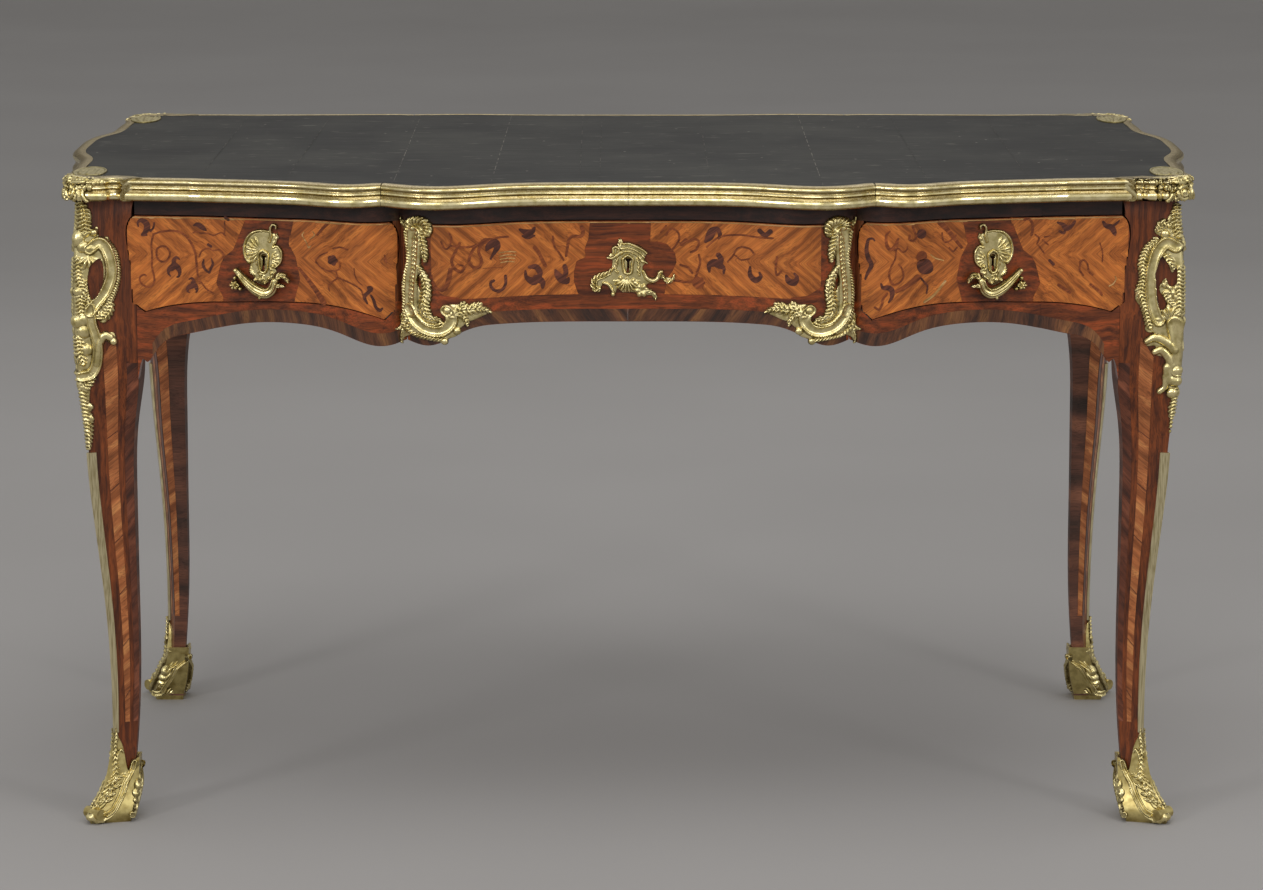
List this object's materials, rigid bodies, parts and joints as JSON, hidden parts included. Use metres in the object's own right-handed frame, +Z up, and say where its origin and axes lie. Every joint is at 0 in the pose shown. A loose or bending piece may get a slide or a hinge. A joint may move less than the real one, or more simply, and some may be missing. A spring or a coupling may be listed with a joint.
{
  "type": "writing desk",
  "caption": "Serpentine writing desk on cabriole legs, with frieze drawers, a leather top, veneered case and cast gilt mounts.",
  "frame": {"origin": "on the floor under the middle of the desk's box", "axes": "+X along the desk's length, -Y towards the sitter (the drawers open that way), +Z up"},
  "size_m": [1.3662, 0.7773, 0.783],
  "materials": {
    "writing_leather": "matt, lightly worn",
    "gilt_bronze": "cast, chased and gilt, aged in the hollows",
    "brass_strip": "drawn, polished",
    "lock_brass": "filed",
    "oak": "planed, bare",
    "kingwood_veneer": "veneered with kingwood and tulipwood, french polished"
  },
  "bodies": {
    "root": {"back_apron": "kingwood_veneer", "back_mounts": "gilt_bronze", "corner_clasp_back_left": "gilt_bronze", "corner_clasp_back_right": "gilt_bronze", "corner_clasp_front_left": "gilt_bronze", "corner_clasp_front_right": "gilt_bronze", "corner_mount_back_left": "gilt_bronze", "corner_mount_back_right": "gilt_bronze", "corner_mount_front_left": "gilt_bronze", "corner_mount_front_right": "gilt_bronze", "drawer_kickers": "oak", "drawer_runners": "oak", "front_apron_left": "kingwood_veneer", "front_apron_right": "kingwood_veneer", "front_top_rail": "kingwood_veneer", "leather_top": "writing_leather", "leg_back_left": "kingwood_veneer", "leg_back_right": "kingwood_veneer", "leg_fillet_back_left": "brass_strip", "leg_fillet_back_right": "brass_strip", "leg_fillet_front_left": "brass_strip", "leg_fillet_front_right": "brass_strip", "leg_front_left": "kingwood_veneer", "leg_front_right": "kingwood_veneer", "partition_left": "oak", "partition_right": "oak", "rim_back": "gilt_bronze", "rim_front": "gilt_bronze", "rim_left": "gilt_bronze", "rim_right": "gilt_bronze", "sabot_back_left": "gilt_bronze", "sabot_back_right": "gilt_bronze", "sabot_front_left": "gilt_bronze", "sabot_front_right": "gilt_bronze", "side_apron_left": "kingwood_veneer", "side_apron_right": "kingwood_veneer", "top_panel": "oak"},
    "left_drawer": {"left_drawer_bottom": "oak", "left_drawer_box": "oak", "left_drawer_front": "kingwood_veneer", "left_escutcheon": "gilt_bronze", "left_lock_case": "lock_brass", "left_pull": "gilt_bronze"},
    "centre_drawer": {"centre_drawer_bottom": "oak", "centre_drawer_box": "oak", "centre_drawer_front": "kingwood_veneer", "centre_escutcheon": "gilt_bronze", "centre_lock_case": "lock_brass", "frame_mount_left": "gilt_bronze", "frame_mount_right": "gilt_bronze"},
    "right_drawer": {"right_drawer_bottom": "oak", "right_drawer_box": "oak", "right_drawer_front": "kingwood_veneer", "right_escutcheon": "gilt_bronze", "right_lock_case": "lock_brass", "right_pull": "gilt_bronze"},
    "left_bolt": {"left_lock_bolt": "lock_brass"},
    "centre_bolt": {"centre_lock_bolt": "lock_brass"},
    "right_bolt": {"right_lock_bolt": "lock_brass"}
  },
  "joints": [
    {"name": "left_drawer_slide", "type": "slide", "parent": "root", "child": "left_drawer", "axis": [0, -1, 0], "range_m": [0, 0.38]},
    {"name": "centre_drawer_slide", "type": "slide", "parent": "root", "child": "centre_drawer", "axis": [0, -1, 0], "range_m": [0, 0.38]},
    {"name": "right_drawer_slide", "type": "slide", "parent": "root", "child": "right_drawer", "axis": [0, -1, 0], "range_m": [0, 0.38]},
    {"name": "left_bolt_slide", "type": "slide", "parent": "left_drawer", "child": "left_bolt", "axis": [0, 0, 1], "range_m": [0, 0.008]},
    {"name": "centre_bolt_slide", "type": "slide", "parent": "centre_drawer", "child": "centre_bolt", "axis": [0, 0, 1], "range_m": [0, 0.008]},
    {"name": "right_bolt_slide", "type": "slide", "parent": "right_drawer", "child": "right_bolt", "axis": [0, 0, 1], "range_m": [0, 0.008]}
  ]
}
